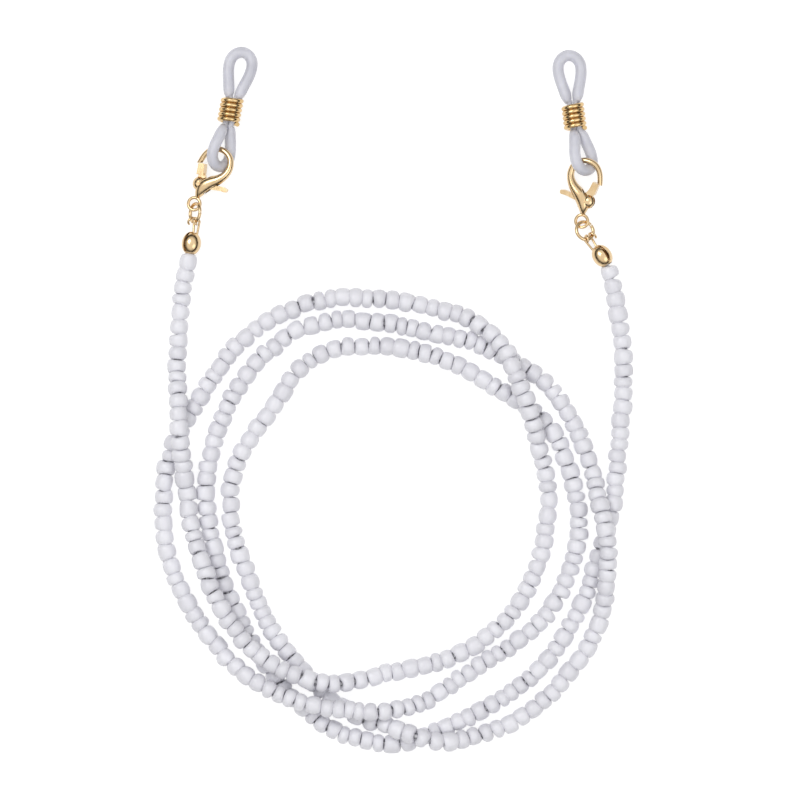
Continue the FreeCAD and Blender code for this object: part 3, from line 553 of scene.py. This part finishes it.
def smoothThrough(stations, per):
    # A smooth line through stations: each stretch is the cubic that keeps its neighbours' slopes.
    padded = np.vstack([2 * stations[0] - stations[1], stations, 2 * stations[-1] - stations[-2]])
    share = (np.arange(per) / per)[None, :, None]
    a, b, c, d = (padded[i:len(padded) - 3 + i][:, None, :] for i in range(4))
    line = 0.5 * (2 * b + (c - a) * share + (2 * a - 5 * b + 4 * c - d) * share ** 2
                  + (3 * b - a - 3 * c + d) * share ** 3)
    return np.vstack([line.reshape(-1, stations.shape[1]), stations[-1:]])


def eyeLine(arm, widest, bendStart, length):
    # Centreline and tube radius of one eye along +y: an arm, half an ellipse round its end, the other arm.
    tube = loop["tube"] / 2
    half = np.array([
        (loop["armGap"] + gap * mm + share * tube, y * mm, 0, share * tube) for gap, y, share in arm])
    angle = np.radians(22.5 * np.arange(9))
    bend = np.column_stack([
        (widest + tube) * np.cos(angle), bendStart + (length - bendStart) * np.sin(angle),
        0 * angle, tube + 0 * angle])
    other = half[::-1] * np.array([-1, 1, 1, 1])
    return np.vstack([half, bend, other])


def sweepTube(line, radii, sides):
    # A closed ring of circles carried along a closed line, kept upright: across is the flat normal.
    ways = np.roll(line, -1, axis=0) - np.roll(line, 1, axis=0)
    ways /= np.linalg.norm(ways, axis=1)[:, None]
    across = np.cross(ways, [0, 0, 1.0])
    across /= np.linalg.norm(across, axis=1)[:, None]
    over = np.cross(across, ways)
    angle = 2 * math.pi * np.arange(sides) / sides
    ring = np.cos(angle)[None, :, None] * across[:, None] + np.sin(angle)[None, :, None] * over[:, None]
    return line[:, None] + radii[:, None, None] * ring


def makeLoop(side):
    # Two eyes back to back, joined at the coil into one closed tube.
    name = "silicone_loop_" + side
    joint = joints["coil_slide_" + side]
    way = np.array(joint["axis"], float)
    place = np.column_stack([np.cross(way, [0, 0, 1.0]), way, [0, 0, 1.0]])
    pose = lie[side]
    temple = eyeLine(loop["templeArm"], loop["templeGap"], loop["templeBend"], loop["templeLength"])
    clasp = eyeLine(loop["claspArm"], loop["claspGap"], loop["claspBend"], loop["claspLength"])
    start = np.array([0, 2 * mm, 0])
    templeTurn = turnAbout("z", pose["templeYaw"]) @ turnAbout("x", -loop["templeDroop"])
    claspTurn = (turnAbout("z", 180 + pose["claspYaw"]) @ turnAbout("x", pose["claspRise"])
                 @ turnAbout("y", -loop["claspRoll"]))

    def turned(stations, matrix, pivot, flat):
        # The turn grows from nothing at the coil to full where the arms leave it.
        share = np.clip((stations[:, 1] - 1.2 * mm) / (2.4 * mm), 0, 1)[:, None]
        share = share * share * (3 - 2 * share)
        straight = stations[:, :3] @ flat.T
        full = (stations[:, :3] - pivot) @ matrix.T + pivot
        return np.column_stack([straight * (1 - share) + full * share, stations[:, 3]])

    templeSide = turned(temple, templeTurn, start, np.eye(3))
    claspSide = turned(clasp, claspTurn, np.zeros(3), turnAbout("z", 180))
    stations = np.vstack([templeSide, claspSide[1:-1]])
    closed = smoothThrough(np.vstack([stations[-3:], stations, stations[:4]]), 5)
    first = 3 * 5
    ring = closed[first:first + len(stations) * 5]
    points = sweepTube(ring[:, :3], ring[:, 3], loop["sides"])
    world = points @ place.T + originOf(side)
    quads = quadsOf(len(ring), loop["sides"])
    piece = newPiece("temple_loop_" + side, world.reshape(-1, 3), quads, siliconeMaterial)
    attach(piece, "loop_" + side)
    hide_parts(name)
    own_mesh(piece)
    return piece


def originOf(side):
    # The middle of a side's coil, from the box of its node.
    low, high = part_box("coil_wrap_" + side)
    return (np.array(low) + np.array(high)) / 2


loops = [makeLoop(side) for side in sides]
print("silicone loops made")


# Metal fittings keep their own shapes
for side in sides:
    for part in ("bead_tip", "crimp_bead", "jump_ring", "clasp_body", "clasp_gate", "clasp_rivet"):
        dress(nodes["%s_%s" % (part, side)], goldMaterial)
    dress(nodes["coil_wrap_" + side], coilMaterial)
    dress(nodes["clasp_spring_" + side], springMaterial)
print("fittings dressed")


# Floor and light
studio = {
    "floor": 4.0,
    "floorColour": (0.36, 0.36, 0.36),
    "zenith": (1.0, 1.0, 1.0),
    "horizon": (0.05, 0.047, 0.043),
    "floorGlow": 0.76,
    "worldStrength": 1.12,
}


def makeFloor():
    half = studio["floor"] / 2
    corners = np.array([(-half, -half, 0), (half, -half, 0), (half, half, 0), (-half, half, 0)])
    material, tree, shader = newMaterial("paleFloor")
    shader.inputs["Base Color"].default_value = (*studio["floorColour"], 1)
    shader.inputs["Roughness"].default_value = 0.9
    shader.inputs["Emission Color"].default_value = (1, 1, 1, 1)
    shader.inputs["Emission Strength"].default_value = studio["floorGlow"]
    floor = newPiece("studioFloor", corners, np.array([[0, 1, 2, 3]]), material, False)
    return floor


def addLamp(name, place, target, width, power, colour=(1, 1, 1)):
    # A square soft lamp at place, facing target.
    data = bpy.data.lights.new(name, "AREA")
    data.size = width
    data.energy = power
    data.color = colour
    lamp = bpy.data.objects.new(name, data)
    lamp.location = place
    way = np.array(target) - np.array(place)
    lamp.rotation_euler = (
        math.atan2(math.hypot(way[0], way[1]), -way[2]), 0, math.atan2(way[1], way[0]) - math.pi / 2)
    bpy.context.scene.collection.objects.link(lamp)


def makeWorld():
    # A white tent that darkens towards the horizon, so that the metal has something dark to reflect.
    world = bpy.data.worlds.new("studioWorld")
    world.use_nodes = True
    tree = world.node_tree
    background = tree.nodes["Background"]
    background.inputs["Strength"].default_value = studio["worldStrength"]
    way = tree.nodes.new("ShaderNodeTexCoord")
    split = tree.nodes.new("ShaderNodeSeparateXYZ")
    tree.links.new(way.outputs["Generated"], split.inputs["Vector"])
    tree.links.new(rampOn(tree, split.outputs["Z"], [
        (0.35, studio["horizon"]), (0.70, studio["zenith"])]), background.inputs["Color"])
    bpy.context.scene.world = world


makeFloor()
makeWorld()
bpy.context.scene.view_settings.view_transform = "Standard"
addLamp("keyLamp", (-0.35, 0.25, 0.7), (0, -0.04, 0), 0.35, 2.0)
addLamp("fillLamp", (0.45, -0.35, 0.6), (0, -0.04, 0), 0.5, 0.8)
print("stage set")
